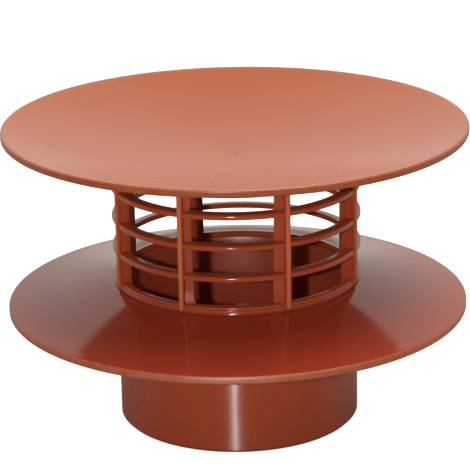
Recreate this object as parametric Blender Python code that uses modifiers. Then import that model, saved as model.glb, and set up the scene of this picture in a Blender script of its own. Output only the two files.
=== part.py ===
"""Static roof vent in moulded plastic: a dished cap over a barred cage, on a socket with a skirt.

Run with: blender --background --python part.py
Units are metres and +Z is up. The origin is on the vent's axis, at the underside of the socket.
Azimuths are in degrees about the axis, from the front (-Y) towards +X.
"""
import math

import bpy

OBJECT_NAME = "static_roof_vent"

# Turning and rounding
TURN_STEPS = 48             # flat sides round every turned piece
JOINT_GAP = 0.0003          # gap left between two pieces that seat on each other
MERGE_DISTANCE = 0.00001    # the ends of a turned skin that lie closer than this become one

# Socket, a plain tube that slips over the vent pipe
SOCKET_RADIUS = 0.053       # outside of the tube
SOCKET_WALL = 0.003
SOCKET_CHAMFER = 0.0013     # bevel round the outside of the open end
SOCKET_DEPTH = 0.032        # open end to the shoulder that stops the pipe

# Neck, the low step on which the cage stands
NECK_OVERHANG = 0.0005      # how far the neck stands out beyond the socket's outside
NECK_RADIUS = SOCKET_RADIUS + NECK_OVERHANG
THROAT_STEP = 0.0015        # shoulder that stops the pipe
NECK_BORE_RADIUS = SOCKET_RADIUS - SOCKET_WALL - THROAT_STEP
NECK_HEIGHT = 0.0006        # above the top of the skirt's slope
NECK_BEVEL = 0.00015
NECK_FILLET = 0.0003        # inside corner between the neck and the skirt

# Skirt, the lower dish that throws the rain clear of the roof tile
SKIRT_RADIUS = 0.1012
SKIRT_TOP = 0.054           # height of the rim's upper edge above the socket's open end
SKIRT_RISE = 0.0094         # rise from the rim to the neck
SKIRT_BOW = 0.0012          # how far its slope sags below a straight line
SKIRT_THICKNESS = 0.0026
SKIRT_FILLET = 0.0022       # inside corner between the skirt's underside and the socket

# Rims of the skirt and of the cap
RIM_HEIGHT = 0.0034
RIM_WIDTH = 0.0024
RIM_ROUND = 0.0008

# Cage, the barred drum between the neck and the cap
CAGE_OVERHANG = 0.0016      # how far the bars stand out beyond the socket's outside
CAGE_RADIUS = SOCKET_RADIUS + CAGE_OVERHANG
BAR_HEIGHT = 0.0025
BAR_DEPTH = 0.0052
BAR_ROUND = 0.0006
BAR_PITCH = 0.0136
FIRST_BAR_LIFT = 0.0145     # from the cage's underside to that of the lowest free bar
LEAST_BAR_GAP = 0.005       # least opening between the highest free bar and the head ring
CAGE_HEIGHT = 0.0543
FOOT_RING_HEIGHT = 0.0026
FOOT_RING_DEPTH = 0.0058
FOOT_STEP = 0.0008          # how far the foot ring's upper half is set back
HEAD_RING_DEPTH = 0.0062

# Posts of the cage: flat plates, all parallel, each with a round rib on a short radial fin
POST_ANGLES = (24.4, 70.0)  # azimuths of one quarter's posts, mirrored front to back and left to right
CAGE_TURN = -1.5            # whole cage turned about the axis
PLATE_INSET = 0.0031        # from the bars' outside to the plate's middle plane, on the azimuth
PLATE_WIDTH = 0.0056        # from the rib's axis towards the middle of the cage
PLATE_THICKNESS = 0.0023
FIN_THICKNESS = 0.0018
RIB_RADIUS = 0.0013
RIB_PROUD = 0.0009          # how far the rib stands out from the bars
RIB_SIDES = 6
RIB_BEVEL = 0.0005
RIB_CORNER = 60.0           # edges sharper than this angle, in degrees, take the bevel

# Cap, the upper dish
CAP_RADIUS = 0.1015
CAP_DISH = 0.0149           # depth of the dish below the rim's upper edge
CAP_CURVE = 1.75            # power of the dish's profile: 2 is a parabola, 1 a cone
CAP_THICKNESS = 0.0027
CAP_SEAT_WALL = 0.0008      # seat on the underside, wider than the head ring by this on each side
CAP_SEAT_HEIGHT = 0.0005    # least height of the seat below the dish's underside

# Curves
SLOPE_STEPS = 4
DISH_STEPS = 6
UNDER_STEPS = 3
FILLET_MIDDLE = 0.3         # the middle of a fillet lies this share of its radius off each face

# Finish of the moulded plastic, linear colour
PLASTIC_COLOUR = (0.40, 0.085, 0.042, 1.0)
PLASTIC_ROUGHNESS = 0.28


def clear_scene():
    """Remove every object of the open scene."""
    for obj in list(bpy.data.objects):
        bpy.data.objects.remove(obj, do_unlink=True)


def new_collection(name):
    """Return a new collection linked to the scene."""
    collection = bpy.data.collections.new(name)
    bpy.context.scene.collection.children.link(collection)
    return collection


def plastic(name):
    """Return a material for one moulded piece."""
    material = bpy.data.materials.new(name)
    material.use_nodes = True
    shader = material.node_tree.nodes["Principled BSDF"]
    shader.inputs["Base Color"].default_value = PLASTIC_COLOUR
    shader.inputs["Roughness"].default_value = PLASTIC_ROUGHNESS
    shader.inputs["Metallic"].default_value = 0.0
    return material


def rounded_rim(radius, top, height, rounding):
    """Outer edge of a dish from its top face to its underside, with both corners taken off."""
    return [
        (radius - rounding, top),
        (radius, top - rounding),
        (radius, top - height + rounding),
        (radius - rounding, top - height),
    ]


def bar_loop(outer, depth, bottom, height, rounding):
    """Closed section of a flat ring whose outer corners are taken off."""
    top = bottom + height
    return [
        (outer - depth, top),
        (outer - rounding, top),
        (outer, top - rounding),
        (outer, bottom + rounding),
        (outer - rounding, bottom),
        (outer - depth, bottom),
    ]


def turned(name, sections, collection, material=None, closed=True):
    """Turn one or more sections, points (radius, height), about the axis into an object."""
    verts = []
    edges = []
    for section in sections:
        first = len(verts)
        verts.extend((radius, 0.0, height) for radius, height in section)
        edges.extend((first + i, first + i + 1) for i in range(len(section) - 1))
        if closed:
            edges.append((len(verts) - 1, first))
    mesh = bpy.data.meshes.new(name)
    mesh.from_pydata(verts, edges, [])
    obj = bpy.data.objects.new(name, mesh)
    collection.objects.link(obj)
    screw = obj.modifiers.new("turn", "SCREW")
    screw.angle = math.tau
    screw.steps = TURN_STEPS
    screw.render_steps = TURN_STEPS
    screw.use_merge_vertices = True
    screw.merge_threshold = MERGE_DISTANCE
    screw.use_smooth_shade = True
    if material:
        mesh.materials.append(material)
    return obj


def skirt_height(radius):
    """Height of the skirt's upper surface, an arc that sags below the line from neck to rim."""
    run = SKIRT_RADIUS - RIM_ROUND - NECK_RADIUS
    chord = math.hypot(run, SKIRT_RISE)
    arc = (chord * chord / 4 + SKIRT_BOW * SKIRT_BOW) / (2 * SKIRT_BOW)
    reach = (arc - SKIRT_BOW) / chord
    centre_radius = NECK_RADIUS + run / 2 + SKIRT_RISE * reach
    centre_height = SKIRT_TOP + SKIRT_RISE / 2 + run * reach
    return centre_height - math.sqrt(arc * arc - (radius - centre_radius) ** 2)


def skirt_slope(start, end, drop):
    """Upper surface of the skirt lowered by drop, as points between two radii."""
    radii = [start + (end - start) * step / SLOPE_STEPS for step in range(SLOPE_STEPS + 1)]
    return [(radius, skirt_height(radius) - drop) for radius in radii]


def neck_top():
    """Height of the neck's upper face, on which the cage stands."""
    return SKIRT_TOP + SKIRT_RISE + NECK_HEIGHT


def build_socket_flange(collection):
    """Socket tube, skirt and neck, moulded in one piece."""
    bore = SOCKET_RADIUS - SOCKET_WALL
    foot = SKIRT_TOP + SKIRT_RISE
    top = neck_top()
    rim_inner = SKIRT_RADIUS - RIM_WIDTH
    upper = skirt_slope(NECK_RADIUS + NECK_FILLET, SKIRT_RADIUS - RIM_ROUND, 0.0)
    under = skirt_slope(rim_inner - RIM_ROUND, SOCKET_RADIUS + SKIRT_FILLET, SKIRT_THICKNESS)
    under_foot = under[-1][1]
    section = [
        (NECK_BORE_RADIUS + NECK_BEVEL, top),
        (NECK_RADIUS - NECK_BEVEL, top),
        (NECK_RADIUS, top - NECK_BEVEL),
        (NECK_RADIUS, foot + NECK_FILLET),
    ]
    section += upper[:-1]
    section += rounded_rim(SKIRT_RADIUS, SKIRT_TOP, RIM_HEIGHT, RIM_ROUND)
    section += [(rim_inner, SKIRT_TOP - RIM_HEIGHT)]
    section += under
    section += [
        (SOCKET_RADIUS + SKIRT_FILLET * FILLET_MIDDLE, under_foot - SKIRT_FILLET * FILLET_MIDDLE),
        (SOCKET_RADIUS, under_foot - SKIRT_FILLET),
        (SOCKET_RADIUS, SOCKET_CHAMFER),
        (SOCKET_RADIUS - SOCKET_CHAMFER, 0.0),
        (bore, 0.0),
        (bore, SOCKET_DEPTH),
        (NECK_BORE_RADIUS, SOCKET_DEPTH),
        (NECK_BORE_RADIUS, top - NECK_BEVEL),
    ]
    return turned("socket_flange", [section], collection, plastic("socket_flange_plastic"))


def cage_bottom():
    """Height of the cage's underside, which stands on the neck."""
    return neck_top() + JOINT_GAP


def cage_top():
    """Height of the cage's top, on which the cap sits."""
    return cage_bottom() + CAGE_HEIGHT


def free_bar_heights():
    """Heights of the undersides of the free bars, as many as fit below the head ring."""
    first = cage_bottom() + FIRST_BAR_LIFT
    highest = cage_top() - BAR_HEIGHT - LEAST_BAR_GAP - BAR_HEIGHT
    count = int((highest - first) / BAR_PITCH) + 1
    return [first + number * BAR_PITCH for number in range(count)]


def cage_sections():
    """Sections of the cage's rings: the foot ring, the free bars and the head ring."""
    bottom = cage_bottom()
    top = bottom + FOOT_RING_HEIGHT
    middle = (bottom + top) / 2
    step = CAGE_RADIUS - FOOT_STEP
    foot = [
        (CAGE_RADIUS - FOOT_RING_DEPTH, top),
        (step - BAR_ROUND, top),
        (step, top - BAR_ROUND),
        (step, middle),
        (CAGE_RADIUS, middle - BAR_ROUND / 2),
        (CAGE_RADIUS, bottom + BAR_ROUND / 2),
        (CAGE_RADIUS - BAR_ROUND / 2, bottom),
        (CAGE_RADIUS - FOOT_RING_DEPTH, bottom),
    ]
    head = bar_loop(CAGE_RADIUS, HEAD_RING_DEPTH, cage_top() - BAR_HEIGHT, BAR_HEIGHT, BAR_ROUND)
    bars = [bar_loop(CAGE_RADIUS, BAR_DEPTH, height, BAR_HEIGHT, BAR_ROUND)
            for height in free_bar_heights()]
    return [foot] + bars + [head]


def post_azimuths():
    """Azimuths of all the posts before the cage is turned, in radians."""
    quarter = list(POST_ANGLES) + [180.0 - angle for angle in reversed(POST_ANGLES)]
    both = quarter + [-angle for angle in quarter]
    return [math.radians(angle) for angle in both]


def build_block(name, azimuth, reach, size, middle):
    """Block whose centre lies at a radius of reach on an azimuth, its length along that azimuth."""
    bpy.ops.mesh.primitive_cube_add(
        size=1.0, location=(math.sin(azimuth) * reach, -math.cos(azimuth) * reach, middle),
        rotation=(0.0, 0.0, azimuth))
    block = bpy.context.object
    block.name = name
    block.scale = size
    bpy.ops.object.transform_apply(location=False, rotation=False, scale=True)
    return block


def build_post(azimuth, number, collection):
    """One post of the cage: a flat plate, a radial fin and the round rib on the fin's edge."""
    height = cage_top() - cage_bottom()
    middle = cage_bottom() + height / 2
    turn = math.radians(CAGE_TURN)
    rib_centre = CAGE_RADIUS + RIB_PROUD - RIB_RADIUS
    across = rib_centre * math.sin(azimuth)
    across -= math.copysign(PLATE_WIDTH / 2, across)
    forward = (CAGE_RADIUS - PLATE_INSET) * math.cos(azimuth)
    plate = build_block(f"post_plate_{number}", turn, 0.0,
                        (PLATE_WIDTH, PLATE_THICKNESS, height), middle)
    plate.location.x = across * math.cos(turn) + forward * math.sin(turn)
    plate.location.y = across * math.sin(turn) - forward * math.cos(turn)
    fin_inner = CAGE_RADIUS - BAR_DEPTH
    fin = build_block(f"post_fin_{number}", azimuth + turn, (fin_inner + rib_centre) / 2,
                      (FIN_THICKNESS, rib_centre - fin_inner, height - BAR_HEIGHT), middle)
    bpy.ops.mesh.primitive_cylinder_add(
        vertices=RIB_SIDES, radius=RIB_RADIUS, depth=height,
        location=(math.sin(azimuth + turn) * rib_centre,
                  -math.cos(azimuth + turn) * rib_centre, middle),
        rotation=(0.0, 0.0, azimuth + turn))
    rib = bpy.context.object
    rib.name = f"post_rib_{number}"
    bevel = rib.modifiers.new("rounded_ends", "BEVEL")
    bevel.width = RIB_BEVEL
    bevel.segments = 1
    bevel.limit_method = "ANGLE"
    bevel.angle_limit = math.radians(RIB_CORNER)
    for piece in (plate, fin, rib):
        piece.hide_render = True
        piece.display_type = "WIRE"
        for owner in list(piece.users_collection):
            owner.objects.unlink(piece)
        collection.objects.link(piece)


def build_grille_cage(collection, cutters):
    """Barred cage: turned rings joined to the posts."""
    posts = bpy.data.collections.new("cage_posts")
    cutters.children.link(posts)
    for number, azimuth in enumerate(post_azimuths()):
        build_post(azimuth, number, posts)
    cage = turned("grille_cage", cage_sections(), collection, plastic("grille_cage_plastic"))
    join = cage.modifiers.new("join_posts", "BOOLEAN")
    join.operation = "UNION"
    join.solver = "EXACT"
    join.operand_type = "COLLECTION"
    join.collection = posts
    join.use_self = True
    return cage


def build_cap_dish(collection):
    """Dished cap with a rim, and the seat on its underside that sits on the cage."""
    dish_radius = CAP_RADIUS - RIM_ROUND

    def lift_at(distance):
        return CAP_DISH * (distance / dish_radius) ** CAP_CURVE

    seat_outer = CAGE_RADIUS + CAP_SEAT_WALL
    seat_inner = CAGE_RADIUS - HEAD_RING_DEPTH - CAP_SEAT_WALL
    seat = cage_top() + JOINT_GAP
    under_centre = seat + CAP_SEAT_HEIGHT - lift_at(seat_inner)
    top_centre = under_centre + CAP_THICKNESS
    rim_top = top_centre + CAP_DISH
    rim_inner = CAP_RADIUS - RIM_WIDTH
    last = rim_inner - RIM_ROUND
    top = [dish_radius * step / DISH_STEPS for step in range(DISH_STEPS)]
    outside = [last + (seat_outer - last) * step / UNDER_STEPS for step in range(UNDER_STEPS + 1)]
    inside = [seat_inner * (1 - step / UNDER_STEPS) for step in range(UNDER_STEPS + 1)]
    section = [(distance, top_centre + lift_at(distance)) for distance in top]
    section += rounded_rim(CAP_RADIUS, rim_top, RIM_HEIGHT, RIM_ROUND)
    section += [(rim_inner, rim_top - RIM_HEIGHT)]
    section += [(distance, under_centre + lift_at(distance)) for distance in outside]
    section += [(seat_outer, seat), (seat_inner, seat)]
    section += [(distance, under_centre + lift_at(distance)) for distance in inside]
    return turned("cap_dish", [section], collection, plastic("cap_dish_plastic"), closed=False)


def build():
    """Build the vent."""
    clear_scene()
    vent = new_collection(OBJECT_NAME)
    cutters = new_collection("cutters")
    build_socket_flange(vent)
    build_grille_cage(vent, cutters)
    build_cap_dish(vent)


build()
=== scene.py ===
"""Studio scene of a static roof vent moulded in brick red plastic.

The vent stands on its socket, a tube with a skirt and a low neck. A barred cage stands on the
neck, and a dished cap sits on the cage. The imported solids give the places, and finely turned and
joined pieces stand for them, with rounded rims, ribs and the marks that moulding leaves.
Units are metres, +Z is up and the front is -Y.
"""
import logging
import math
from dataclasses import dataclass
from enum import Enum

import bmesh
import bpy
from mathutils import Matrix, Vector


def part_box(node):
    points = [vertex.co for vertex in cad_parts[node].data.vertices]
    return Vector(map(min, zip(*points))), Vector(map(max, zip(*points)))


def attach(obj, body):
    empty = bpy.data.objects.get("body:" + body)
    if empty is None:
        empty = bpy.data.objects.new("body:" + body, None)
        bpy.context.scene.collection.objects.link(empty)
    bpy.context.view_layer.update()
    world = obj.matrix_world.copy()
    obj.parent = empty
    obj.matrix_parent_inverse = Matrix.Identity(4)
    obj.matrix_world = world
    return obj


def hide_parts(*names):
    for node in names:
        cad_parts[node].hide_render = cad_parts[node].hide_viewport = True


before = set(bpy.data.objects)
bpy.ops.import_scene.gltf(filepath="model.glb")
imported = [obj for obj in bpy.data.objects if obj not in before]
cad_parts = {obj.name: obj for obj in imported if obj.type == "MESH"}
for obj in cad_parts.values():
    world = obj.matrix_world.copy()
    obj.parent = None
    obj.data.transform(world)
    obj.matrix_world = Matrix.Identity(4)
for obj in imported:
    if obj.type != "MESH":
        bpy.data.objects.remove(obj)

LOG = logging.getLogger("roof_vent")
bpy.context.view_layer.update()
BODY = "root"
GLINT = "table_glint"

Point = tuple[float, float]
Corner = tuple[float, float, float]
Colour = tuple[float, float, float]

BLACK = (0.0, 0.0, 0.0, 1.0)
WHITE = (1.0, 1.0, 1.0, 1.0)
SPECK_TONE = (0.10, 0.02, 0.012, 1.0)
DUST_TONE = (0.62, 0.55, 0.50, 1.0)

# Scales of the textures, in repeats a metre
WAVE_SCALE = 38.0
PEEL_SCALE = 420.0
GRAIN_SCALE = 2600.0
CLOUD_SCALE = 24.0
PIGMENT_SCALE = 900.0
SPECK_SCALE = 190.0
SMUDGE_SCALE = 30.0
SCRATCH_SCALE = (60.0, 1800.0, 600.0)
DUST_SCALE = 1500.0
RUB_SCALE = 160.0
FLOOR_SCALE = 60.0


class Slot(Enum):
    """Names of material slots, listed with the parts in main but not read there."""

    FLANGE = "flange_plastic"
    CAGE = "cage_plastic"
    CAP = "cap_plastic"


class Node(Enum):
    """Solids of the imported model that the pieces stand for."""

    FLANGE = "socket_flange"
    CAGE = "grille_cage"
    CAP = "cap_dish"


class Ends(Enum):
    """How the two ends of a turned section are closed."""

    LOOP = "loop"
    POLES = "poles"


class FlangeFinish(Enum):
    """Finishes of the flange's surfaces, in the order of its material slots; their base tones are
    painted light on the tube and painted shade on the skirt and throat.
    """

    SKIRT = "skirt_gloss"
    TUBE = "tube_gloss"
    THROAT = "throat_gloss"


def deselect_all() -> None:
    """Leave nothing selected in object mode."""
    if bpy.context.mode != "OBJECT":
        bpy.ops.object.mode_set(mode="OBJECT")
    bpy.ops.object.select_all(action="DESELECT")


def make_active(obj: bpy.types.Object) -> None:
    """Select one object alone and make it the active one.

    Args:
        obj: The object that the next operators act on.
    """
    deselect_all()
    obj.select_set(True)
    bpy.context.view_layer.objects.active = obj


def select_where(obj: bpy.types.Object, test) -> None:
    """Select the vertices of an object in edit mode whose place passes a test.

    Args:
        obj: The object being edited.
        test: Called with a vertex's place, and true where it is to be selected.
    """
    bpy.ops.mesh.select_mode(type="VERT")
    bpy.ops.mesh.select_all(action="DESELECT")
    mesh = bmesh.from_edit_mesh(obj.data)
    for vert in mesh.verts:
        vert.select_set(bool(test(vert.co)))
    mesh.select_flush(True)
    bmesh.update_edit_mesh(obj.data)


def settle(obj: bpy.types.Object) -> None:
    """Put an object's place, turn and scale into its mesh.

    Args:
        obj: The object, which ends at the origin.
    """
    make_active(obj)
    bpy.ops.object.transform_apply(location=True, rotation=True, scale=True)


def apply_modifiers(obj: bpy.types.Object) -> None:
    """Apply an object's modifiers in their order.

    Args:
        obj: The object whose modifiers become part of its mesh.
    """
    make_active(obj)
    for modifier in list(obj.modifiers):
        bpy.ops.object.modifier_apply(modifier=modifier.name)


@dataclass
class Section:
    """Section of a turned piece: corners (radius, height, rounding) in order."""

    corners: list[Corner]
    ends: Ends = Ends.LOOP
    arc_step: float = math.radians(15.0)
    least_turn: float = math.radians(1.0)
    side_share: float = 0.499

    def points(self) -> list[Point]:
        """Work out the section's points, with each rounded corner as an arc.

        Returns:
            The points (radius, height) in the order of the corners.
        """
        result: list[Point] = []
        count = len(self.corners)
        for number, (radius, height, rounding) in enumerate(self.corners):
            at_end = self.ends is Ends.POLES and number in (0, count - 1)
            if rounding <= 0.0 or at_end:
                result.append((radius, height))
                continue
            before = self.corners[number - 1]
            after = self.corners[(number + 1) % count]
            result.extend(self.arc(before, (radius, height, rounding), after))
        return result

    def arc(self, before: Corner, corner: Corner, after: Corner) -> list[Point]:
        """Round one corner.

        Args:
            before: The corner before it.
            corner: The corner that is rounded.
            after: The corner after it.

        Returns:
            Points of the arc that touches both sides.
        """
        here = Vector(corner[:2])
        back = Vector(before[:2]) - here
        ahead = Vector(after[:2]) - here
        opening = back.angle(ahead)
        turn = math.pi - opening
        if turn < self.least_turn:
            return [(here.x, here.y)]
        longest = min(back.length, ahead.length) * self.side_share
        reach = min(corner[2] * math.tan(turn / 2), longest)
        radius = reach / math.tan(turn / 2)
        back.normalize()
        ahead.normalize()
        centre = here + (back + ahead).normalized() * (radius / math.sin(opening / 2))
        start = here + back * reach - centre
        finish = here + ahead * reach - centre
        steps = max(2, math.ceil(turn / self.arc_step))
        points = []
        for step in range(steps + 1):
            share = step / steps
            along = start * math.sin((1 - share) * turn) + finish * math.sin(share * turn)
            place = centre + along / math.sin(turn)
            points.append((place.x, place.y))
        return points


@dataclass
class Lathe:
    """Turns sections about the vent's axis, a ring extruded from point to point."""

    sides: int = 256
    merge: float = 0.000002

    def turn(self, name: str, section: Section) -> bpy.types.Object:
        """Turn one section.

        Args:
            name: The name of the new object.
            section: The section to turn.

        Returns:
            The turned piece, closed, with its faces outwards.
        """
        points = section.points()
        poles = section.ends is Ends.POLES
        ring = points[1:-1] if poles else points
        deselect_all()
        bpy.ops.mesh.primitive_circle_add(
            vertices=self.sides, radius=ring[0][0], location=(0.0, 0.0, ring[0][1]),
            fill_type="TRIFAN" if poles else "NOTHING")
        obj = bpy.context.object
        obj.name = name
        obj.data.name = name
        settle(obj)
        bpy.ops.object.mode_set(mode="EDIT")
        if poles:
            select_where(obj, lambda place: math.hypot(place.x, place.y) < ring[0][0] / 2)
            bpy.ops.transform.translate(value=(0.0, 0.0, points[0][1] - ring[0][1]))
            select_where(obj, lambda place: math.hypot(place.x, place.y) > ring[0][0] / 2)
        else:
            bpy.ops.mesh.select_all(action="SELECT")
        path = ring[1:] if poles else ring[1:] + ring[:1]
        radius, height = ring[0]
        for next_radius, next_height in path:
            bpy.ops.mesh.extrude_edges_move(
                TRANSFORM_OT_translate={"value": (0.0, 0.0, next_height - height)})
            scale = next_radius / radius
            bpy.ops.transform.resize(
                value=(scale, scale, 1.0), center_override=(0.0, 0.0, next_height))
            radius, height = next_radius, next_height
        if poles:
            bpy.ops.mesh.extrude_edges_move(
                TRANSFORM_OT_translate={"value": (0.0, 0.0, points[-1][1] - height)})
            bpy.ops.mesh.merge(type="CENTER")
        bpy.ops.mesh.select_all(action="SELECT")
        bpy.ops.mesh.remove_doubles(threshold=self.merge)
        bpy.ops.mesh.normals_make_consistent(inside=False)
        bpy.ops.object.mode_set(mode="OBJECT")
        return obj


def join_solids(body: bpy.types.Object, others: list[bpy.types.Object]) -> None:
    """Join closed solids to a body and delete them.

    Args:
        body: The solid that stays.
        others: The solids that are joined to it.
    """
    for other in others:
        tool = body.modifiers.new("join", "BOOLEAN")
        tool.operation = "UNION"
        tool.solver = "MANIFOLD"
        tool.object = other
        apply_modifiers(body)
        bpy.data.objects.remove(other, do_unlink=True)


def smooth_faces(obj: bpy.types.Object, degrees: float = 40.0) -> None:
    """Shade an object smooth but for its sharp edges.

    Args:
        obj: The object.
        degrees: Edges sharper than this stay sharp.
    """
    make_active(obj)
    bpy.ops.object.shade_smooth_by_angle(angle=math.radians(degrees))


@dataclass
class NodeBench:
    """Lays out and links the nodes of one node tree."""

    tree: bpy.types.NodeTree
    column: int = 0
    rows: int = 5
    spacing: tuple[float, float] = (190.0, -60.0)

    def add(self, kind: str, **settings) -> bpy.types.Node:
        """Add a node.

        Args:
            kind: The node's type, without ShaderNode before it.
            **settings: Properties of the node.

        Returns:
            The new node.
        """
        node = self.tree.nodes.new("ShaderNode" + kind if kind[:4] != "Node" else kind)
        for key, value in settings.items():
            setattr(node, key, value)
        across, down = self.spacing
        node.location = (self.column * across, self.column % self.rows * down)
        self.column += 1
        return node

    def feed(self, socket: bpy.types.NodeSocket, source) -> None:
        """Link a socket to another node's socket, or give it a plain value.

        Args:
            socket: The socket that is fed.
            source: An output socket, or a value.
        """
        if isinstance(source, bpy.types.NodeSocket):
            self.tree.links.new(source, socket)
        else:
            socket.default_value = source

    def math(self, operation: str, first, second=0.0) -> bpy.types.NodeSocket:
        """Add a Math node.

        Args:
            operation: Its operation.
            first: Its first value or source.
            second: Its second value or source.

        Returns:
            The node's output.
        """
        node = self.add("Math", operation=operation)
        self.feed(node.inputs[0], first)
        self.feed(node.inputs[1], second)
        return node.outputs[0]

    def noise(self, place, scale, detail: float = 2.0, rough: float = 0.5) -> bpy.types.NodeSocket:
        """Add a Noise texture.

        Args:
            place: Where it is read.
            scale: Its scale, a value or a source.
            detail: Its detail.
            rough: How much its finer detail counts.

        Returns:
            Its value.
        """
        node = self.add("TexNoise")
        self.feed(node.inputs["Vector"], place)
        self.feed(node.inputs["Scale"], scale)
        node.inputs["Detail"].default_value = detail
        node.inputs["Roughness"].default_value = rough
        return node.outputs[0]

    def remap(self, value, low: float, high: float, new_low=0.0, new_high=1.0,
              smooth: bool = False) -> bpy.types.NodeSocket:
        """Map a range of values onto another.

        Args:
            value: The value's source.
            low: Lower end of the range.
            high: Upper end of the range.
            new_low: What the lower end becomes.
            new_high: What the upper end becomes.
            smooth: True for a smooth step.

        Returns:
            The mapped value.
        """
        node = self.add("MapRange", interpolation_type="SMOOTHSTEP" if smooth else "LINEAR")
        for number, source in enumerate((value, low, high, new_low, new_high)):
            self.feed(node.inputs[number], source)
        return node.outputs[0]

    def mix(self, share, first, second, blend: str = "MIX") -> bpy.types.NodeSocket:
        """Mix two colours.

        Args:
            share: How much of the second colour counts.
            first: The first colour or its source.
            second: The second colour or its source.
            blend: The blend type.

        Returns:
            The mixed colour.
        """
        node = self.add("Mix", data_type="RGBA", blend_type=blend)
        self.feed(node.inputs[0], share)
        self.feed(node.inputs[6], first)
        self.feed(node.inputs[7], second)
        return node.outputs[2]


def new_group(name: str, inputs: list[tuple[str, str, object]],
              outputs: list[tuple[str, str]]) -> tuple[bpy.types.NodeTree, NodeBench]:
    """Make an empty shader node group.

    Args:
        name: The group's name.
        inputs: Name, socket type and default value of each input.
        outputs: Name and socket type of each output.

    Returns:
        The group and the bench that lays out its nodes.
    """
    tree = bpy.data.node_groups.new(name, "ShaderNodeTree")
    for label, kind, value in inputs:
        socket = tree.interface.new_socket(name=label, in_out="INPUT", socket_type=kind)
        if value is not None:
            socket.default_value = value
    for label, kind in outputs:
        tree.interface.new_socket(name=label, in_out="OUTPUT", socket_type=kind)
    return tree, NodeBench(tree)


def surface_relief_group() -> bpy.types.NodeTree:
    """Relief of a moulded surface: broad flow waves, orange peel and fine grain.

    Returns:
        The group, with a place in metres as input and a height as output.
    """
    tree, bench = new_group(
        "surface_relief",
        [("Place", "NodeSocketVector", None), ("Wave", "NodeSocketFloat", 1.0),
         ("Peel", "NodeSocketFloat", 1.0), ("Grain", "NodeSocketFloat", 1.0)],
        [("Height", "NodeSocketFloat")])
    start = bench.add("NodeGroupInput")
    place = start.outputs["Place"]
    wave = bench.math("MULTIPLY", bench.noise(place, WAVE_SCALE, 1.0), start.outputs["Wave"])
    peel = bench.noise(place, PEEL_SCALE, 2.0, 0.45)
    peel = bench.math("MULTIPLY", peel, start.outputs["Peel"])
    grain = bench.noise(place, GRAIN_SCALE, 1.0)
    grain = bench.math("MULTIPLY", grain, start.outputs["Grain"])
    total = bench.math("ADD", bench.math("ADD", wave, peel), grain)
    finish = bench.add("NodeGroupOutput")
    bench.feed(finish.inputs["Height"], total)
    return tree


def colour_flow_group() -> bpy.types.NodeTree:
    """Colour of pigmented plastic: faint clouds, fine unevenness and small specks.

    Returns:
        The group, with a place and two colours as inputs and a colour as output.
    """
    tree, bench = new_group(
        "colour_flow",
        [("Place", "NodeSocketVector", None), ("Base", "NodeSocketColor", None),
         ("Deep", "NodeSocketColor", None), ("Clouds", "NodeSocketFloat", 0.3),
         ("Specks", "NodeSocketFloat", 0.5)],
        [("Color", "NodeSocketColor")])
    start = bench.add("NodeGroupInput")
    place = start.outputs["Place"]
    cloud = bench.remap(bench.noise(place, CLOUD_SCALE, 4.0, 0.55), 0.35, 0.68)
    cloud = bench.math("MULTIPLY", cloud, start.outputs["Clouds"])
    tone = bench.mix(cloud, start.outputs["Base"], start.outputs["Deep"])
    pigment = bench.noise(place, PIGMENT_SCALE, 3.0, 0.6)
    pigment = bench.remap(pigment, 0.3, 0.72, 0.94, 1.06)
    grey = bench.add("CombineColor")
    for channel in range(3):
        bench.feed(grey.inputs[channel], pigment)
    tone = bench.mix(1.0, tone, grey.outputs[0], "MULTIPLY")
    dots = bench.add("TexVoronoi", feature="F1")
    bench.feed(dots.inputs["Vector"], place)
    dots.inputs["Scale"].default_value = SPECK_SCALE
    near = bench.remap(dots.outputs["Distance"], 0.03, 0.075, 1.0, 0.0, True)
    chosen = bench.math("GREATER_THAN", dots.outputs["Color"], 0.72)
    speck = bench.math("MULTIPLY", bench.math("MULTIPLY", near, chosen), start.outputs["Specks"])
    tone = bench.mix(speck, tone, SPECK_TONE)
    finish = bench.add("NodeGroupOutput")
    bench.feed(finish.inputs["Color"], tone)
    return tree


def handling_group() -> bpy.types.NodeTree:
    """Roughness of a handled gloss surface, with smudges, fine scratches and a dust mask.

    Returns:
        The group, with a place and a roughness as inputs, and a roughness and a mask as outputs.
    """
    tree, bench = new_group(
        "handling",
        [("Place", "NodeSocketVector", None), ("Roughness", "NodeSocketFloat", 0.2),
         ("Smudge", "NodeSocketFloat", 0.05), ("Scratch", "NodeSocketFloat", 0.05)],
        [("Roughness", "NodeSocketFloat"), ("Dust", "NodeSocketFloat")])
    start = bench.add("NodeGroupInput")
    place = start.outputs["Place"]
    smudge = bench.remap(bench.noise(place, SMUDGE_SCALE, 5.0, 0.6), 0.42, 0.66)
    smudge = bench.math("MULTIPLY", smudge, start.outputs["Smudge"])
    stretch = bench.add("Mapping")
    bench.feed(stretch.inputs["Vector"], place)
    stretch.inputs["Rotation"].default_value = (0.3, 0.2, 0.9)
    stretch.inputs["Scale"].default_value = SCRATCH_SCALE
    line = bench.remap(bench.noise(stretch.outputs[0], 1.0, 1.0), 0.66, 0.74)
    line = bench.math("MULTIPLY", line, start.outputs["Scratch"])
    rough = bench.math("ADD", bench.math("ADD", start.outputs["Roughness"], smudge), line)
    dust = bench.remap(bench.noise(place, DUST_SCALE, 2.0, 0.7), 0.60, 0.78)
    finish = bench.add("NodeGroupOutput")
    bench.feed(finish.inputs["Roughness"], rough)
    bench.feed(finish.inputs["Dust"], dust)
    return tree


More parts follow.
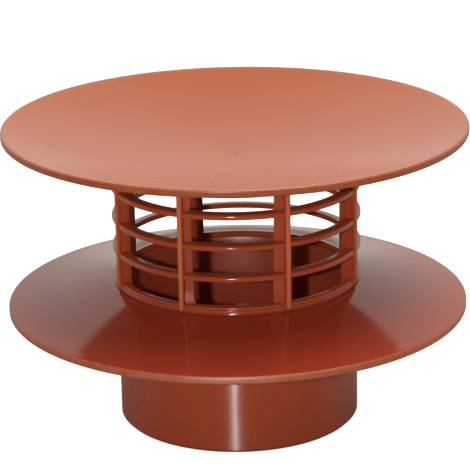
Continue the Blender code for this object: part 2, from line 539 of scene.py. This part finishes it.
@dataclass(frozen=True)
class PlasticFinish:
    """Gloss finish of a moulding in pigmented plastic, with a band at its rim that is partly wear
    and partly painted light: painted highlight where its tone is lighter, painted shade where
    darker.
    """

    name: str
    base: Colour = (0.41, 0.068, 0.022)
    deep: Colour = (0.36, 0.055, 0.018)
    wear_and_painted_light: Colour = (0.56, 0.19, 0.11)
    clouds: float = 0.6
    specks: float = 0.35
    roughness: float = 0.20
    smudge: float = 0.05
    scratch: float = 0.06
    anisotropy: float = 0.0
    wave: float = 0.6
    peel: float = 0.25
    grain: float = 0.02
    relief: float = 0.00006
    refraction: float = 1.53
    rim_radius: float = 0.1015
    rim_band: float = 0.0012
    wear_and_light_share: float = 0.35
    rim_dull: float = 0.9
    rim_patch: float = 0.15
    dust: float = 0.05

    def build(self) -> bpy.types.Material:
        """Build the finish's material.

        Returns:
            The material.
        """
        material = bpy.data.materials.new(self.name)
        material.use_nodes = True
        bench = NodeBench(material.node_tree)
        shader = material.node_tree.nodes["Principled BSDF"]
        place = bench.add("TexCoord").outputs["Object"]
        colour = self.group(bench, "colour_flow", Place=place, Base=(*self.base, 1.0),
                            Deep=(*self.deep, 1.0), Clouds=self.clouds, Specks=self.specks)
        touch = self.group(bench, "handling", Place=place, Roughness=self.roughness,
                           Smudge=self.smudge, Scratch=self.scratch)
        relief = self.group(bench, "surface_relief", Place=place, Wave=self.wave,
                            Peel=self.peel, Grain=self.grain)
        wear_and_painted_light = self.painted_light_and_wear_mask(bench, place)
        # Rim band tone: partly wear, partly painted light. It is a painted highlight on the
        # skirt's rim and the cage's rib crests, and painted shade on the cap's rim face.
        tone = bench.mix(wear_and_painted_light, colour.outputs["Color"], (*self.wear_and_painted_light, 1.0))
        dusty = bench.math("MULTIPLY", touch.outputs["Dust"], self.dust)
        tone = bench.mix(dusty, tone, DUST_TONE)
        bump = bench.add("Bump")
        bump.inputs["Strength"].default_value = 1.0
        bump.inputs["Distance"].default_value = self.relief
        bench.feed(bump.inputs["Height"], relief.outputs["Height"])
        bench.feed(shader.inputs["Base Color"], tone)
        dull = bench.math("MULTIPLY", wear_and_painted_light, self.rim_dull)
        dull = bench.math("ADD", touch.outputs["Roughness"], dull)
        bench.feed(shader.inputs["Roughness"], dull)
        bench.feed(shader.inputs["Normal"], bump.outputs["Normal"])
        shader.inputs["IOR"].default_value = self.refraction
        shader.inputs["Anisotropic"].default_value = self.anisotropy
        if self.anisotropy > 0.0:
            shader.inputs["Anisotropic Rotation"].default_value = 0.25
            tangent = bench.add("Tangent", direction_type="RADIAL", axis="Z")
            bench.feed(shader.inputs["Tangent"], tangent.outputs[0])
        return material

    def painted_light_and_wear_mask(self, bench: NodeBench, place: bpy.types.NodeSocket) -> bpy.types.NodeSocket:
        """Mask of the outer edge, where handling wears the gloss in patches and where the rim's
        tone is painted: a painted highlight where lighter, painted shade where darker.

        Args:
            bench: The material's bench.
            place: The place on the piece.

        Returns:
            The mask, from 0 to 1.
        """
        flat = bench.add("VectorMath", operation="MULTIPLY")
        bench.feed(flat.inputs[0], place)
        flat.inputs[1].default_value = (1.0, 1.0, 0.0)
        length = bench.add("VectorMath", operation="LENGTH")
        bench.feed(length.inputs[0], flat.outputs[0])
        edge = bench.remap(length.outputs["Value"], self.rim_radius - self.rim_band,
                           self.rim_radius, 0.0, 1.0, True)
        patch = bench.remap(bench.noise(place, RUB_SCALE, 4.0, 0.65), 0.38, 0.66,
                            self.rim_patch, 1.0)
        return bench.math("MULTIPLY", bench.math("MULTIPLY", edge, patch), self.wear_and_light_share)

    @staticmethod
    def group(bench: NodeBench, name: str, **values) -> bpy.types.Node:
        """Place a shared effect in a material.

        Args:
            bench: The material's bench.
            name: The name of the effect's node group.
            **values: Values or sources of the group's inputs.

        Returns:
            The group's node.
        """
        node = bench.add("Group")
        node.node_tree = bpy.data.node_groups[name]
        for label, value in values.items():
            bench.feed(node.inputs[label], value)
        return node


@dataclass
class SocketFlange:
    """Socket tube, skirt and neck, moulded in one piece."""

    tube_radius: float = 0.053
    tube_wall: float = 0.003
    tube_chamfer: float = 0.0013
    pipe_stop: float = 0.032
    skirt_radius: float = 0.1012
    skirt_top: float = 0.054
    skirt_rise: float = 0.0094
    skirt_bow: float = 0.0006
    skirt_thickness: float = 0.0026
    slope_steps: int = 14
    rim_height: float = 0.0034
    rim_width: float = 0.0024
    rim_round: float = 0.0009
    rim_blend: float = 0.0025
    inner_blend: float = 0.0020
    neck_radius: float = 0.0535
    neck_bore: float = 0.0485
    throat_radius: float = 0.0511
    throat_foot: float = 0.046
    throat_round: float = 0.02
    neck_fillet: float = 0.0003
    neck_round: float = 0.0001
    tube_fillet: float = 0.0022
    fine_round: float = 0.0003

    def slope(self, inner: float, outer: float, drop: float) -> list[Corner]:
        """Points of the skirt's hollow slope, from the neck towards the rim.

        Args:
            inner: Radius where the points start.
            outer: Radius where they end.
            drop: How far below the upper surface they lie.

        Returns:
            The points, with no rounding.
        """
        start = self.neck_radius
        end = self.skirt_radius - self.rim_round
        points = []
        for step in range(self.slope_steps + 1):
            radius = inner + (outer - inner) * step / self.slope_steps
            share = (radius - start) / (end - start)
            straight = self.skirt_top + self.skirt_rise * (1.0 - share)
            sag = 4.0 * self.skirt_bow * share * (1.0 - share)
            points.append((radius, straight - sag - drop, 0.0))
        return points

    def section(self) -> Section:
        """The moulding's section, from the neck down its outer side and up its bore.

        Returns:
            The closed section.
        """
        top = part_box(Node.FLANGE.value)[1][2]
        rim = self.skirt_radius
        edge = self.skirt_top
        foot = edge + self.skirt_rise
        rim_inner = rim - self.rim_width
        bore = self.tube_radius - self.tube_wall
        upper = self.slope(self.neck_radius + 2 * self.neck_fillet, rim - self.rim_blend, 0.0)
        lower = self.slope(self.tube_radius + 2 * self.tube_fillet,
                           rim_inner - self.inner_blend, self.skirt_thickness)
        corners = [
            (self.throat_radius, top, self.neck_round),
            (self.neck_radius, top, self.neck_round),
            (self.neck_radius, foot, self.neck_fillet),
            *upper,
            (rim, edge, self.rim_round),
            (rim, edge - self.rim_height, self.rim_round),
            (rim_inner, edge - self.rim_height, self.rim_round / 2),
            (rim_inner, lower[-1][1], self.rim_round / 2),
            *reversed(lower),
            (self.tube_radius, lower[0][1], self.tube_fillet),
            (self.tube_radius, self.tube_chamfer, self.fine_round),
            (self.tube_radius - self.tube_chamfer, 0.0, self.fine_round),
            (bore, 0.0, self.fine_round),
            (bore, self.pipe_stop, self.fine_round),
            (self.neck_bore, self.pipe_stop, self.fine_round),
            (self.neck_bore, self.throat_foot, self.throat_round),
        ]
        return Section(corners)

    def build(self, lathe: Lathe, finishes: dict[str, bpy.types.Material]) -> bpy.types.Object:
        """Turn the moulding and dress it.

        Args:
            lathe: The lathe.
            finishes: The materials by name.

        Returns:
            The piece.
        """
        piece = lathe.turn("flange_moulding", self.section())
        self.dress(piece, finishes)
        return piece

    def dress(self, piece: bpy.types.Object, finishes: dict[str, bpy.types.Material]) -> None:
        """Give the skirt, the tube and the throat their finishes.

        Args:
            piece: The moulding.
            finishes: The materials by name.
        """
        smooth_faces(piece)
        slots = list(FlangeFinish)
        for finish in slots:
            piece.data.materials.append(finishes[finish.value])
        below = self.skirt_top - self.rim_height
        reach = self.tube_radius + self.tube_fillet / 2
        for face in piece.data.polygons:
            radius = math.hypot(face.center.x, face.center.y)
            finish = FlangeFinish.SKIRT
            if radius < self.throat_radius and face.center.z > self.pipe_stop:
                finish = FlangeFinish.THROAT
            elif radius < reach and face.center.z < below:
                finish = FlangeFinish.TUBE
            face.material_index = slots.index(finish)


@dataclass(frozen=True)
class Post:
    """One post of the cage: its rib's azimuth in degrees and its flat plate.

    The plate has its inner edge at a distance from the vent's middle plane. The edge leans out
    by a draft, flares further at the foot, and the plate is turned by a yaw in degrees.
    """

    azimuth: float
    inner: float
    draft: float
    flare: float = 0.0
    yaw: float = 0.0


@dataclass
class GrilleCage:
    """Barred cage: rings one above another, joined by ribbed posts."""

    radius: float = 0.0546
    bar_height: float = 0.0024
    bar_depth: float = 0.0046
    bar_round: float = 0.0020
    bar_slope: float = 0.0003
    fine_round: float = 0.00025
    bar_pitch: float = 0.0136
    first_lift: float = 0.0140
    free_bars: int = 3
    foot_height: float = 0.0026
    foot_depth: float = 0.0035
    foot_step: float = 0.0008
    head_depth: float = 0.0062
    front_posts: tuple[Post, ...] = (
        Post(-25.9, 0.0194, 0.0008, 0.0012), Post(23.2, 0.0158, 0.0007),
        Post(-70.2, 0.0463, 0.0002, yaw=20.0), Post(70.0, 0.0454, 0.0002, yaw=-20.0))
    turn: float = 0.5
    plate_radius: float = 0.0515
    plate_thickness: float = 0.0023
    flare_height: float = 0.0026
    flare_curve: tuple[Point, ...] = ((0.1, 0.62), (0.3, 0.33), (0.6, 0.1), (1.0, 0.0))
    level_band: float = 0.05
    fin_thickness: float = 0.0018
    rib_radius: float = 0.0013
    rib_proud: float = 0.0009
    rib_sides: int = 24
    rib_end_share: float = 0.6
    rib_end_steps: int = 3
    rib_end_angle: float = math.radians(60.0)
    sharp_angle: float = 35.0

    def bar(self, depth: float, bottom: float) -> Section:
        """Section of a bar with rounded outer corners.

        Args:
            depth: The bar's radial depth.
            bottom: Height of its underside.

        Returns:
            The closed section.
        """
        top = bottom + self.bar_height
        inner = self.radius - depth
        fine = self.fine_round
        return Section([
            (inner, bottom, fine / 4), (inner, top, fine / 4),
            (self.radius, top - self.bar_slope, self.bar_round), (self.radius, bottom, fine)])

    def foot(self, bottom: float) -> Section:
        """Section of the foot ring, whose upper half is set back.

        Args:
            bottom: Height of its underside.

        Returns:
            The closed section.
        """
        top = bottom + self.foot_height
        middle = bottom + self.foot_height / 2
        inner = self.radius - self.foot_depth
        back = self.radius - self.foot_step
        fine = self.fine_round
        return Section([
            (inner, bottom, fine / 4), (inner, top, fine / 4),
            (back, top - self.bar_slope, fine * 3),
            (back, middle, fine / 2), (self.radius, middle, fine * 2),
            (self.radius, bottom, fine)])

    def plate(self, post: Post, width: float, bottom: float, top: float) -> bpy.types.Object:
        """Model the flat plate of a post on the right, its outer edge at the origin.

        Args:
            post: The post.
            width: The plate's width at its head.
            bottom: Height of the post's foot.
            top: Height of its head.

        Returns:
            The plate, whose inner edge leans out at the foot and flares onto the foot ring.
        """
        height = top - bottom
        deselect_all()
        bpy.ops.mesh.primitive_cube_add(size=1.0, location=(-width / 2, 0.0, bottom + height / 2))
        plate = bpy.context.object
        plate.name = "post_plate"
        plate.scale = (width, self.plate_thickness, height)
        settle(plate)
        ring = bottom + self.foot_height
        bpy.ops.object.mode_set(mode="EDIT")
        for share, _ in reversed(self.flare_curve):
            bpy.ops.mesh.select_all(action="SELECT")
            bpy.ops.mesh.bisect(plane_co=(0.0, 0.0, ring + self.flare_height * share),
                                plane_no=(0.0, 0.0, 1.0))
        for low, high, part in self.flare_levels(ring):
            select_where(plate, lambda place: place.x < -width / 2 and low < place.z < high)
            reach = post.draft + post.flare * part
            bpy.ops.transform.translate(value=(-reach, 0.0, 0.0))
        bpy.ops.object.mode_set(mode="OBJECT")
        return plate

    def flare_levels(self, ring: float) -> list[tuple[float, float, float]]:
        """Levels of a plate's inner edge that are moved out.

        Args:
            ring: Height of the foot ring's upper face.

        Returns:
            Lower and upper limit of each level, and the share of the flare it takes.
        """
        step = self.flare_height * self.level_band
        levels = [(ring - self.foot_height * 2, ring + step, 1.0)]
        for share, part in self.flare_curve:
            level = ring + self.flare_height * share
            levels.append((level - step, level + step, part))
        return levels

    def rib(self, bottom: float, top: float) -> list[bpy.types.Object]:
        """Model the round rib of a post and its fin at the front of the cage.

        Args:
            bottom: Height of the post's foot.
            top: Height of its head.

        Returns:
            The rib and the fin.
        """
        middle = (bottom + top) / 2
        centre = self.radius + self.rib_proud - self.rib_radius
        inner = self.radius - self.bar_depth
        deselect_all()
        bpy.ops.mesh.primitive_cube_add(size=1.0, location=(0.0, -(inner + centre) / 2, middle))
        fin = bpy.context.object
        fin.name = "post_fin"
        fin.scale = (self.fin_thickness, centre - inner, top - bottom - self.bar_height)
        settle(fin)
        bpy.ops.mesh.primitive_cylinder_add(
            vertices=self.rib_sides, radius=self.rib_radius, depth=top - bottom,
            location=(0.0, -centre, middle))
        rib = bpy.context.object
        rib.name = "post_rib"
        settle(rib)
        ends = rib.modifiers.new("ends", "BEVEL")
        ends.width = self.rib_radius * self.rib_end_share
        ends.segments = self.rib_end_steps
        ends.limit_method = "ANGLE"
        ends.angle_limit = self.rib_end_angle
        apply_modifiers(rib)
        return [fin, rib]

    def build(self, lathe: Lathe, finishes: dict[str, bpy.types.Material]) -> bpy.types.Object:
        """Turn the rings, join the posts to them and dress the cage.

        Args:
            lathe: The lathe.
            finishes: The materials by name.

        Returns:
            The piece.
        """
        low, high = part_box(Node.CAGE.value)
        bottom, top = low[2], high[2]
        rings = [lathe.turn("cage_foot_ring", self.foot(bottom))]
        for number in range(self.free_bars):
            lift = bottom + self.first_lift + number * self.bar_pitch
            rings.append(lathe.turn(f"cage_bar_{number}", self.bar(self.bar_depth, lift)))
        rings.append(lathe.turn(
            "cage_head_ring", self.bar(self.head_depth, top - self.bar_height)))
        posts = self.posts(bottom, top)
        cage = rings[0]
        join_solids(cage, rings[1:] + posts)
        cage.name = "cage_moulding"
        cage.data.name = "cage_moulding"
        smooth_faces(cage, self.sharp_angle)
        cage.data.materials.clear()
        cage.data.materials.append(finishes["cage_gloss"])
        return cage

    def posts(self, bottom: float, top: float) -> list[bpy.types.Object]:
        """Model the posts of the cage's front half and copy them to its back half.

        Args:
            bottom: Height of the posts' feet.
            top: Height of their heads.

        Returns:
            Plates, fins and ribs of all the posts.
        """
        ribs = self.rib(bottom, top)
        centre = self.radius + self.rib_proud - self.rib_radius
        solids = []
        for post in self.front_posts:
            azimuth = math.radians(post.azimuth)
            across = centre * math.sin(azimuth)
            plate = self.plate(post, abs(across) - post.inner, bottom, top)
            plate.location = (across, -self.plate_radius * math.cos(azimuth), 0.0)
            plate.rotation_euler = (0.0, 0.0, math.radians(self.turn + post.yaw))
            plate.scale = (math.copysign(1.0, across), 1.0, 1.0)
            settle(plate)
            solids.append(plate)
            for pattern in ribs:
                copy = self.copy(pattern)
                copy.rotation_euler = (0.0, 0.0, azimuth)
                settle(copy)
                solids.append(copy)
        for solid in list(solids):
            back = self.copy(solid)
            back.rotation_euler = (0.0, 0.0, math.pi)
            settle(back)
            solids.append(back)
        for solid in solids:
            make_active(solid)
            bpy.ops.object.mode_set(mode="EDIT")
            bpy.ops.mesh.select_all(action="SELECT")
            bpy.ops.mesh.normals_make_consistent(inside=False)
            bpy.ops.object.mode_set(mode="OBJECT")
        for pattern in ribs:
            bpy.data.objects.remove(pattern, do_unlink=True)
        return solids

    @staticmethod
    def copy(pattern: bpy.types.Object) -> bpy.types.Object:
        """Copy an object with its own mesh.

        Args:
            pattern: The object that is copied.

        Returns:
            The copy, in the scene.
        """
        copy = pattern.copy()
        copy.data = pattern.data.copy()
        bpy.context.scene.collection.objects.link(copy)
        return copy


@dataclass
class CapDish:
    """Dished cap with a rounded rim, a seat below and the gate mark at its centre."""

    depth: float = 0.0149
    curve: float = 1.75
    thickness: float = 0.0027
    rim_height: float = 0.0034
    rim_width: float = 0.0024
    rim_round: float = 0.0009
    rim_blend: float = 0.0026
    under_blend: float = 0.0006
    under_round: float = 0.0003
    seat_outer: float = 0.0554
    seat_inner: float = 0.0476
    seat_blend: float = 0.0004
    seat_round: float = 0.0002
    dish_steps: int = 40
    gate_radius: float = 0.0006
    gate_height: float = 0.0001
    gate_recess: float = 0.0014
    recess_depth: float = 0.00012
    gate_foot_share: float = 1.05
    recess_foot_share: float = 0.94
    recess_margin: float = 1.2

    def lift(self, radius: float, rim: float) -> float:
        """How far the dish has risen at a radius.

        Args:
            radius: Distance from the axis.
            rim: Radius where the dish meets the rim's rounding.

        Returns:
            The rise above the centre.
        """
        return self.depth * (radius / rim) ** self.curve

    def section(self) -> Section:
        """The cap's section, from the centre of its top round the rim to its underside.

        Returns:
            The open section, from pole to pole.
        """
        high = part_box(Node.CAP.value)[1]
        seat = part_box(Node.CAP.value)[0][2]
        radius, top = high[0], high[2]
        rim = radius - self.rim_round
        centre = top - self.depth
        gate = self.gate_radius
        recess = self.gate_recess
        floor = centre - self.recess_depth
        corners = [
            (0.0, floor + self.gate_height, 0.0),
            (gate, floor + self.gate_height, gate / 4),
            (gate * self.gate_foot_share, floor, gate / 8),
            (recess * self.recess_foot_share, floor, gate / 8),
            (recess, centre + self.lift(recess, rim), gate / 8),
        ]
        first = recess * self.recess_margin
        last = radius - self.rim_blend
        for step in range(1, self.dish_steps + 1):
            place = first + (last - first) * (step / self.dish_steps)
            corners.append((place, centre + self.lift(place, rim), 0.0))
        inner = radius - self.rim_width
        corners += [
            (radius, top, self.rim_round),
            (radius, top - self.rim_height, self.rim_round),
            (inner, top - self.rim_height, self.rim_round / 2),
        ]
        under = centre - self.thickness
        start = inner - self.under_blend
        reach = self.seat_outer + self.seat_blend - start
        corners.append((start, under + self.lift(start, rim), self.under_round))
        for step in range(1, self.dish_steps):
            place = start + reach * step / (self.dish_steps - 1)
            corners.append((place, under + self.lift(place, rim), 0.0))
        corners += [
            (self.seat_outer, under + self.lift(self.seat_outer, rim), self.seat_round),
            (self.seat_outer, seat, self.seat_round),
            (self.seat_inner, seat, self.seat_round),
            (self.seat_inner, under + self.lift(self.seat_inner, rim), 0.0),
        ]
        for step in range(1, self.dish_steps // 2):
            place = self.seat_inner * (1.0 - step / (self.dish_steps // 2))
            corners.append((place, under + self.lift(place, rim), 0.0))
        corners.append((0.0, under, 0.0))
        return Section(corners, Ends.POLES)

    def build(self, lathe: Lathe, finishes: dict[str, bpy.types.Material]) -> bpy.types.Object:
        """Turn the cap and dress it.

        Args:
            lathe: The lathe.
            finishes: The materials by name.

        Returns:
            The piece.
        """
        piece = lathe.turn("cap_moulding", self.section())
        smooth_faces(piece)
        piece.data.materials.append(finishes["cap_gloss"])
        return piece


@dataclass
class PhotoCamera:
    """Camera at the viewing angle of the photograph, whose frame is 470 pixels square."""

    target: tuple[float, float, float] = (-0.00069, 0.0, 0.08149)
    distance: float = 1.02513
    elevation: float = 18.0259
    roll: float = -1.0519
    focal_pixels: float = 2325.95
    frame_pixels: float = 470.0
    sensor: float = 36.0
    clip: tuple[float, float] = (0.05, 30.0)

    def build(self) -> bpy.types.Object:
        """Place the camera and make it the scene's own.

        Returns:
            The camera.
        """
        tilt = math.radians(self.elevation)
        forward = Vector((0.0, math.cos(tilt), -math.sin(tilt)))
        right = Vector((1.0, 0.0, 0.0))
        up = right.cross(forward)
        roll = math.radians(self.roll)
        side = right * math.cos(roll) + up * math.sin(roll)
        above = up * math.cos(roll) - right * math.sin(roll)
        data = bpy.data.cameras.new("photo_camera")
        data.sensor_width = self.sensor
        data.lens = self.focal_pixels / self.frame_pixels * self.sensor
        data.clip_start, data.clip_end = self.clip
        camera = bpy.data.objects.new("photo_camera", data)
        bpy.context.scene.collection.objects.link(camera)
        turn = Matrix((side, above, -forward)).transposed().to_4x4()
        place = Vector(self.target) - forward * self.distance
        camera.matrix_world = Matrix.Translation(place) @ turn
        bpy.context.scene.camera = camera
        return camera


@dataclass
class SoftBox:
    """Rectangular studio light that faces the vent.

    A light for gloss only shows as a reflection, and only on the pieces linked to the collection
    that has its name.
    """

    name: str
    azimuth: float
    elevation: float
    distance: float
    width: float
    height: float
    power: float
    tone: Colour = (1.0, 1.0, 1.0)
    aim: tuple[float, float, float] = (0.0, 0.0, 0.07)
    gloss_only: bool = False

    def build(self) -> bpy.types.Object:
        """Place the light.

        Returns:
            The light.
        """
        around = math.radians(self.azimuth)
        up = math.radians(self.elevation)
        away = Vector((math.sin(around) * math.cos(up), -math.cos(around) * math.cos(up),
                       math.sin(up)))
        data = bpy.data.lights.new(self.name, "AREA")
        data.shape = "RECTANGLE"
        data.size = self.width
        data.size_y = self.height
        data.energy = self.power
        data.color = self.tone
        light = bpy.data.objects.new(self.name, data)
        bpy.context.scene.collection.objects.link(light)
        light.location = Vector(self.aim) + away * self.distance
        light.rotation_euler = (-away).to_track_quat("-Z", "Y").to_euler()
        light.visible_diffuse = not self.gloss_only
        if self.gloss_only:
            light.light_linking.receiver_collection = bpy.data.collections.new(self.name)
        return light


@dataclass
class Studio:
    """Pale floor, pale backdrop and lights of a small product studio."""

    floor_radius: float = 6.0
    floor_sides: int = 96
    floor_level: float = -0.0002
    floor_tone: Colour = (0.42, 0.42, 0.42)
    floor_speck_tone: Colour = (0.41, 0.41, 0.412)
    # Painted shade: floor tone seen in reflections in front of the vent, darker than the camera
    # sees the floor.
    floor_reflected_shade_tone: Colour = (0.10, 0.10, 0.10)
    floor_reflected_shade_edges: tuple[float, float] = (-0.08, -0.03)
    floor_roughness: float = 0.9
    floor_glow: float = 0.95
    backdrop_light: float = 0.80
    backdrop_tone: Colour = (1.0, 0.97, 0.90)
    horizon_gain: float = 0.15
    horizon_edges: tuple[float, float] = (0.975, 0.997)
    horizon_top: tuple[float, float] = (0.05, 0.20)
    room_light: float = 0.13
    ceiling_light: float = 0.26
    backdrop_edges: tuple[float, float] = (-0.25, 0.25)
    backdrop_top: tuple[float, float] = (34.0, 46.0)

    def build(self) -> None:
        """Make the floor, the surroundings and the lights."""
        self.floor()
        self.surroundings()
        for light in self.lights():
            light.build()
        view = bpy.context.scene.view_settings
        view.view_transform = "Standard"
        view.look = "None"

    def floor(self) -> None:
        """Lay the pale floor that the vent stands on."""
        deselect_all()
        bpy.ops.mesh.primitive_circle_add(
            vertices=self.floor_sides, radius=self.floor_radius, fill_type="NGON",
            location=(0.0, 0.0, self.floor_level))
        floor = bpy.context.object
        floor.name = "studio_floor"
        settle(floor)
        material = bpy.data.materials.new("floor_card")
        material.use_nodes = True
        bench = NodeBench(material.node_tree)
        shader = material.node_tree.nodes["Principled BSDF"]
        place = bench.add("TexCoord").outputs["Object"]
        speck = bench.remap(bench.noise(place, FLOOR_SCALE, 4.0), 0.3, 0.7)
        tone = bench.mix(speck, (*self.floor_tone, 1.0), (*self.floor_speck_tone, 1.0))
        # Painted shade: glossy rays see the floor in front of the vent darkened.
        split = bench.add("SeparateXYZ")
        bench.feed(split.inputs[0], place)
        front = bench.remap(split.outputs["Y"], *self.floor_reflected_shade_edges, 1.0, 0.0, True)
        gloss = bench.math("MULTIPLY", bench.add("LightPath").outputs["Is Glossy Ray"], front)
        tone = bench.mix(gloss, tone, (*self.floor_reflected_shade_tone, 1.0))
        seen = bench.add("LightPath").outputs["Is Camera Ray"]
        glow = bench.mix(seen, BLACK, WHITE)
        bench.feed(shader.inputs["Base Color"], tone)
        bench.feed(shader.inputs["Emission Color"], glow)
        shader.inputs["Roughness"].default_value = self.floor_roughness
        shader.inputs["Emission Strength"].default_value = self.floor_glow
        floor.data.materials.append(material)

    def surroundings(self) -> None:
        """Surround the vent with a pale backdrop, a darker room in front and a ceiling."""
        world = bpy.data.worlds.new("studio_surroundings")
        world.use_nodes = True
        bpy.context.scene.world = world
        bench = NodeBench(world.node_tree)
        background = world.node_tree.nodes["Background"]
        split = bench.add("SeparateXYZ")
        bench.feed(split.inputs[0], bench.add("TexCoord").outputs["Generated"])
        depth, height = split.outputs["Y"], split.outputs["Z"]
        wall = bench.remap(depth, *self.backdrop_edges, self.room_light,
                           self.backdrop_light, True)
        behind = bench.remap(depth, *self.horizon_edges, 0.0, self.horizon_gain, True)
        low_down = bench.remap(height, *self.horizon_top, 1.0, 0.0, True)
        wall = bench.math("ADD", wall, bench.math("MULTIPLY", behind, low_down))
        low, high = (math.sin(math.radians(angle)) for angle in self.backdrop_top)
        above = bench.remap(height, low, high, 0.0, 1.0, True)
        lift = bench.math("MULTIPLY", above, bench.math("SUBTRACT", self.ceiling_light, wall))
        level = bench.math("ADD", wall, lift)
        seen = bench.add("LightPath").outputs["Is Camera Ray"]
        bench.feed(background.inputs["Strength"], bench.math("MAXIMUM", level, seen))
        colour = bench.mix(seen, (*self.backdrop_tone, 1.0), WHITE)
        bench.feed(background.inputs["Color"], colour)

    def lights(self) -> list[SoftBox]:
        """List the studio's lights."""
        return [
            SoftBox("camera_light", azimuth=-5.2, elevation=18.5, distance=1.03,
                    width=0.026, height=0.018, power=3.9),
            SoftBox(GLINT, azimuth=-4.4, elevation=1.5, distance=1.03,
                    width=0.020, height=0.030, power=7.5, gloss_only=True),
            SoftBox("ceiling_light", azimuth=60.0, elevation=80.0, distance=1.6,
                    width=1.2, height=1.0, power=24.0, tone=(1.0, 0.94, 0.84)),
        ]


def build_finishes() -> dict[str, bpy.types.Material]:
    """Build the shared effects and every finish.

    Returns:
        The materials by name.
    """
    surface_relief_group()
    colour_flow_group()
    handling_group()
    finishes = [
        # Skirt: base darker than the tube's on the same moulding, painted shade under the cap.
        PlasticFinish("skirt_gloss", base=(0.365, 0.045, 0.019), deep=(0.32, 0.038, 0.0155),
                      # Rim band painted lighter: partly wear, partly a painted highlight on the
                      # skirt's rim.
                      wear_and_painted_light=(0.45, 0.125, 0.042), rim_radius=0.1012, wear_and_light_share=0.75,
                      rim_dull=0.5, rim_patch=0.7, roughness=0.09, smudge=0.03, peel=0.10),
        # Tube: base lighter than the skirt's and the throat's, painted light on the lit tube.
        PlasticFinish("tube_gloss", base=(0.46, 0.074, 0.023), deep=(0.41, 0.062, 0.019),
                      wear_and_light_share=0.0, roughness=0.27, anisotropy=1.0, scratch=0.02),
        # Throat: base darker than the tube's, painted shade inside the bore.
        PlasticFinish("throat_gloss", base=(0.37, 0.052, 0.018), deep=(0.33, 0.044, 0.015),
                      wear_and_light_share=0.0, roughness=0.36),
        # Cage: base lighter than the skirt's, painted light on its bars and posts.
        PlasticFinish("cage_gloss", base=(0.44, 0.072, 0.022), wear_and_painted_light=(0.70, 0.19, 0.075),
                      # Band at the rib crests painted lighter in patches: a painted highlight
                      # along the ribs.
                      rim_radius=0.0555, rim_band=0.0009, wear_and_light_share=0.8, rim_dull=0.0,
                      rim_patch=0.8, roughness=0.11, peel=0.1),
        # Cap: paler, greener base than the other pieces, painted light on the top lit from above.
        PlasticFinish("cap_gloss", base=(0.43, 0.100, 0.034), deep=(0.39, 0.086, 0.030),
                      # Rim band painted darker in patches: painted shade on the cap's rim face.
                      wear_and_painted_light=(0.27, 0.052, 0.020), rim_radius=0.1012, wear_and_light_share=0.5,
                      rim_dull=0.0, rim_patch=0.6, roughness=0.22, scratch=0.012,
                      peel=0.05, grain=0.004),
    ]
    return {finish.name: finish.build() for finish in finishes}


def main() -> None:
    """Build the studio and the vent."""
    logging.basicConfig(level=logging.INFO, format="%(name)s: %(message)s")
    PhotoCamera().build()
    Studio().build()
    finishes = build_finishes()
    lathe = Lathe()
    parts = [
        (SocketFlange(), Node.FLANGE, Slot.FLANGE),
        (GrilleCage(), Node.CAGE, Slot.CAGE),
        (CapDish(), Node.CAP, Slot.CAP),
    ]
    for part, node, slot in parts:
        piece = part.build(lathe, finishes)
        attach(piece, BODY)
        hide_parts(node.value)
        if node is Node.FLANGE:
            bpy.data.collections[GLINT].objects.link(piece)
        LOG.info("%s: %d faces", piece.name, len(piece.data.polygons))


if __name__ == "__main__":
    main()
